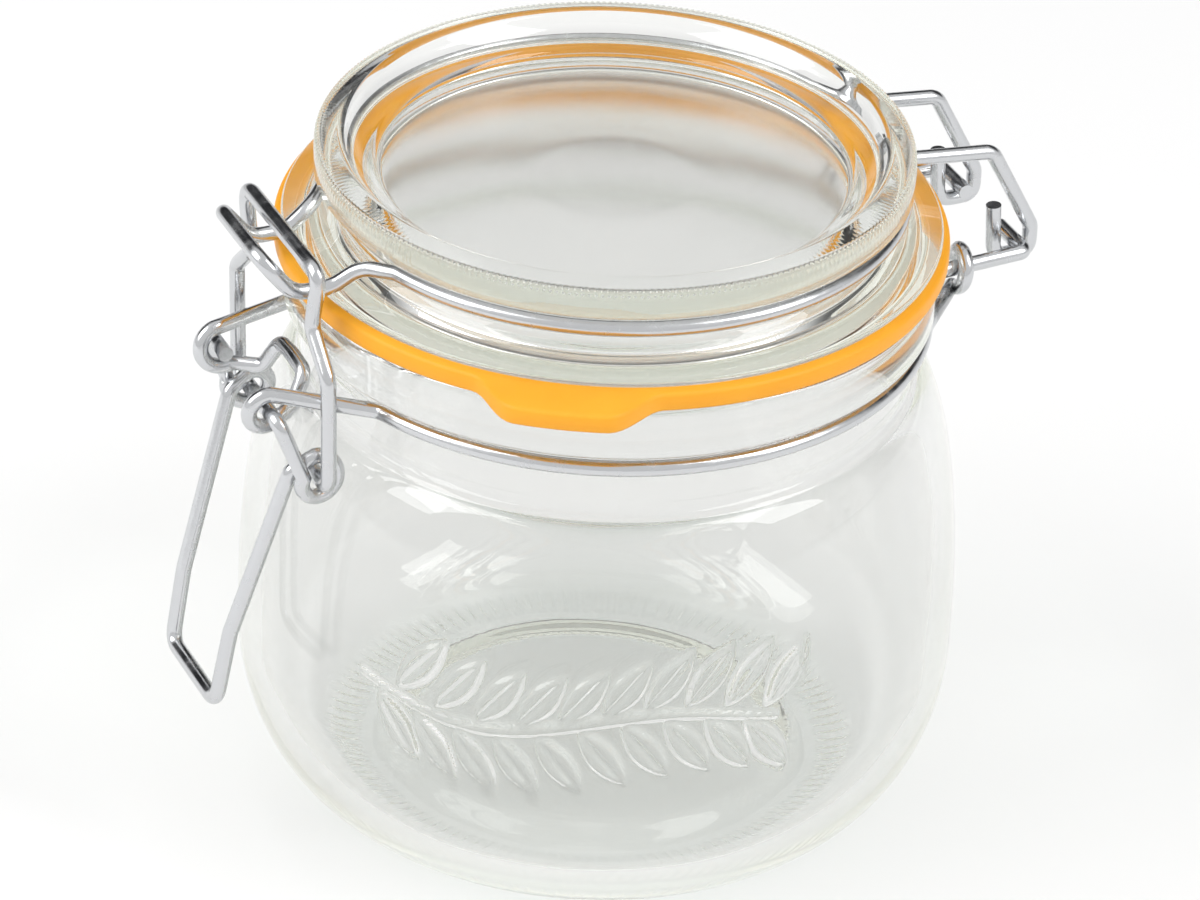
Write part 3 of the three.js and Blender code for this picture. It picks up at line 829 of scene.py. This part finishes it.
def plated_steel():
    """Bright zinc plating with the faint drawn grain and dull patches of cheap wire."""
    material = bpy.data.materials.new("plated_wire")
    material.use_nodes = True
    nodes = material.node_tree.nodes
    links = material.node_tree.links
    shader = nodes["Principled BSDF"]
    shader.inputs["Base Color"].default_value = WIRE_COLOUR
    shader.inputs["Metallic"].default_value = 1.0
    place = nodes.new("ShaderNodeTexCoord")
    patches = nodes.new("ShaderNodeTexNoise")
    patches.inputs["Scale"].default_value = WIRE_PATCH_SCALE
    patches.inputs["Detail"].default_value = 3
    dull = nodes.new("ShaderNodeMapRange")
    dull.inputs["From Min"].default_value = WIRE_PATCH_RANGE[0]
    dull.inputs["From Max"].default_value = WIRE_PATCH_RANGE[1]
    dull.inputs["To Min"].default_value = WIRE_ROUGHNESS[0]
    dull.inputs["To Max"].default_value = WIRE_ROUGHNESS[1]
    grain = nodes.new("ShaderNodeTexNoise")
    grain.inputs["Scale"].default_value = WIRE_GRAIN_SCALE
    grain.inputs["Detail"].default_value = 2
    bump = nodes.new("ShaderNodeBump")
    bump.inputs["Strength"].default_value = WIRE_GRAIN_STRENGTH
    bump.inputs["Distance"].default_value = WIRE_GRAIN_HEIGHT
    for texture in (patches, grain):
        links.new(place.outputs["Object"], texture.inputs["Vector"])
    links.new(patches.outputs["Fac"], dull.inputs["Value"])
    links.new(dull.outputs["Result"], shader.inputs["Roughness"])
    links.new(grain.outputs["Fac"], bump.inputs["Height"])
    links.new(bump.outputs["Normal"], shader.inputs["Normal"])
    return material


round_wire = wire_tree()
plating = plated_steel()


def set_input(modifier, name, value):
    for item in modifier.node_group.interface.items_tree:
        if item.item_type == "SOCKET" and item.in_out == "INPUT" and item.name == name:
            modifier[item.identifier] = value


def wire_piece(name, points, body, node):
    """A finished wire along the points, its ends cut square with a small burr-free edge."""
    first = points[0] + (points[1] - points[0]).normalized() * END_BEVEL
    last = points[-1] + (points[-2] - points[-1]).normalized() * END_BEVEL
    route = [points[0], first, *points[1:-1], last, points[-1]]
    curve = bpy.data.curves.new(name + "_route", "CURVE")
    curve.dimensions = "3D"
    spline = curve.splines.new("POLY")
    spline.points.add(len(route) - 1)
    for i, p in enumerate(route):
        spline.points[i].co = (*(p * MM), 1)
        spline.points[i].radius = END_NARROWING if i in (0, len(route) - 1) else 1.0
    carrier = link(bpy.data.objects.new(name + "_route", curve))
    modifier = carrier.modifiers.new("round_wire", "NODES")
    modifier.node_group = round_wire
    set_input(modifier, "Wire radius", WIRE_R * MM)
    set_input(modifier, "Sides", WIRE_SIDES)
    set_input(modifier, "Finish", plating)
    ready = carrier.evaluated_get(bpy.context.evaluated_depsgraph_get())
    mesh = bpy.data.meshes.new_from_object(ready)
    mesh.name = name
    bpy.data.objects.remove(carrier)
    faces_outwards(mesh)
    piece = link(bpy.data.objects.new(name, mesh))
    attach(piece, body)
    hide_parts(node)
    return piece


def neck_route():
    eye_centre = Vector((HINGE_EYE.x - COIL_PITCH * 0.4, -HINGE_LEG_Y, HINGE_EYE.z))
    hinge_eye = coil(eye_centre, -AXIS_Y, AXIS_Z, AXIS_X, HINGE_EYE_R, -90, 180, COIL_PITCH)
    ring = level_arc(NECK_WIRE_R, NECK_WIRE_Z, -30, -159)
    pivot = LEVER_PIVOT + Vector((0, -LEVER_EYE_Y - COIL_PITCH / 4, 0))
    lever_eye = coil(pivot, -AXIS_X, AXIS_Z, AXIS_Y, LEVER_EYE_R, 90, -120, COIL_PITCH)
    bridge = bent([
        lever_eye[-1],
        BRIDGE_RAMP,
        BRIDGE_END,
        (BRIDGE_X, 0, BRIDGE_Z),
    ], 2)
    into_eye = bent([hinge_eye[1], hinge_eye[0], ring[0], ring[1]], EYE_EXIT_R)[1:-1]
    out_of_groove = bent([ring[-3], ring[-1], lever_eye[0], lever_eye[2]], GROOVE_EXIT_R)[1:-1]
    return mirrored([
        *reversed(hinge_eye[1:]),
        *into_eye,
        *ring[1:-3],
        *out_of_groove,
        *lever_eye[2:],
        *bridge[1:],
    ])


wire_piece("wire_neck", neck_route(), "jar", "neck_wire")


# Hinge wire
# The same wire in a short length: it lies in the neck groove at the back and comes out through the
# neck wire's two eyes, and its ends, turned inwards, are the pins that the lid swings on.
HINGE_PIN = Vector((61.4, 0, 81.9))
HINGE_PIN_TIP_Y = 5.4
HINGE_LEG_ROOT_X = 47.4
HINGE_GROOVE_EXIT = Vector((46, -12.4, 79.2))
HINGE_GROOVE_Y = 10.6
HOOK_Y = 9


def hinge_route():
    enter = math.degrees(math.asin(HINGE_GROOVE_Y / NECK_WIRE_R))
    ring = level_arc(NECK_WIRE_R, NECK_WIRE_Z, -enter, 0, 16)
    leg = bent([
        (HINGE_PIN.x, -HINGE_PIN_TIP_Y, HINGE_PIN.z),
        (HINGE_PIN.x, -HINGE_LEG_Y, HINGE_PIN.z),
        (HINGE_LEG_ROOT_X, -HINGE_LEG_Y, HINGE_EYE.z),
        HINGE_GROOVE_EXIT,
        ring[0],
    ], 1.2)
    return mirrored(leg[:-1] + ring)


wire_piece("wire_hinge", hinge_route(), "jar", "hinge_wire")


# Lid wire
# It lies in the lid's groove. Behind the jar it is bent down into two hooks round the hinge pins, and
# in front it stands out as a loop, turned up at its end, which the link pulls down.
HOOK_OUTER_X = 64.5
HOOK_POST_X = 58.6
HOOK_BOTTOM_Z = 79.2
HOOK_KNEE_Z = 83.4
HOOK_CUT = Vector((58, -HOOK_Y, 88))
HOOK_TOP = Vector((57, -HOOK_Y, 97.2))
HOOK_ROOT_X = 42.6
LOOP_HALF = 8.5
LOOP_ARM_Z = 95.4
LOOP_ROOT = Vector((-43.4, -9.4, 98.2))
LOOP_ARM_FROM = Vector((-47.6, -8.6, LOOP_ARM_Z))
LOOP_ARM_TO_X = -53.2
LOOP_END = Vector((-57.9, 0, 101.4))


def lid_route():
    ring = level_arc(LID_WIRE_R, LID_WIRE_Z, -19, -161)
    hook = bent([
        HOOK_CUT,
        (HOOK_POST_X, -HOOK_Y, HOOK_BOTTOM_Z),
        (HOOK_OUTER_X, -HOOK_Y, HOOK_BOTTOM_Z),
        (HOOK_OUTER_X, -HOOK_Y, HOOK_KNEE_Z),
        HOOK_TOP,
        (HOOK_ROOT_X, -HOOK_Y, LID_WIRE_Z),
        ring[0],
    ], 2.4)
    loop = bent([
        ring[-1],
        LOOP_ROOT,
        LOOP_ARM_FROM,
        (LOOP_ARM_TO_X, -LOOP_HALF, LOOP_ARM_Z),
        (LOOP_END.x, -LOOP_HALF, LOOP_END.z),
        (LOOP_END.x, 0, LOOP_END.z),
    ], 5)
    return mirrored(hook[:-1] + ring + loop[1:])


wire_piece("wire_lid", lid_route(), "jar", "lid_wire")


# Link
# A frame of the same wire. Its top bar bears down on the lid wire's loop and its two feet, bent
# inwards, turn in the lever's rings.
LINK_PIVOT = Vector((-51, 0, 67.6))
LEVER_RING_R = 2.95
LEVER_RING_INNER_Y = 12
LINK_TOP = Vector((-51.6, 14, 101))
LINK_FOOT_TIP_Y = 9.6
LINK_LEG = Vector((-51.4, -17.4, 85.8))
LINK_WAIST_Y = 11.4
LINK_WAIST_Z = 91.4


def link_route():
    return mirrored(bent([
        (LINK_PIVOT.x, -LINK_FOOT_TIP_Y, LINK_PIVOT.z),
        (LINK_PIVOT.x, LINK_LEG.y, LINK_PIVOT.z),
        LINK_LEG,
        (LINK_TOP.x, -LINK_WAIST_Y, LINK_WAIST_Z),
        (LINK_TOP.x, -LINK_TOP.y, LINK_TOP.z),
        (LINK_TOP.x, 0, LINK_TOP.z),
    ]))


wire_piece("wire_link", link_route(), "link", "link_wire")


# Lever
# One wire with two pins in the neck wire's eyes, a crank and a one-turn ring on each side, and the
# long handle that lies down along the jar when it is shut.
LEVER_PIN_TIP_Y = 6.8
CRANK_Y = 13.4
HANDLE_ROOT = Vector((-54.6, -11.8, 68.4))
HANDLE_BEND = Vector((-62.6, -9.2, 41))
HANDLE_FOOT = Vector((-64.5, -8.7, 29.2))


def lever_route():
    ring_outer_y = LEVER_RING_INNER_Y + COIL_PITCH
    centre = Vector((LINK_PIVOT.x, -ring_outer_y, LINK_PIVOT.z))
    ring_turn = coil(centre, -AXIS_X, -AXIS_Z, AXIS_Y, LEVER_RING_R, -20, 275, COIL_PITCH)
    crank = bent([
        (LEVER_PIVOT.x, -LEVER_PIN_TIP_Y, LEVER_PIVOT.z),
        (LEVER_PIVOT.x, -CRANK_Y, LEVER_PIVOT.z),
        ring_turn[0],
    ], 2)
    handle = bent([
        ring_turn[-1],
        HANDLE_ROOT,
        HANDLE_BEND,
        HANDLE_FOOT,
        (HANDLE_FOOT.x, 0, HANDLE_FOOT.z),
    ])
    return mirrored(crank[:-1] + ring_turn + handle[1:])


wire_piece("wire_lever", lever_route(), "lever", "lever_wire")
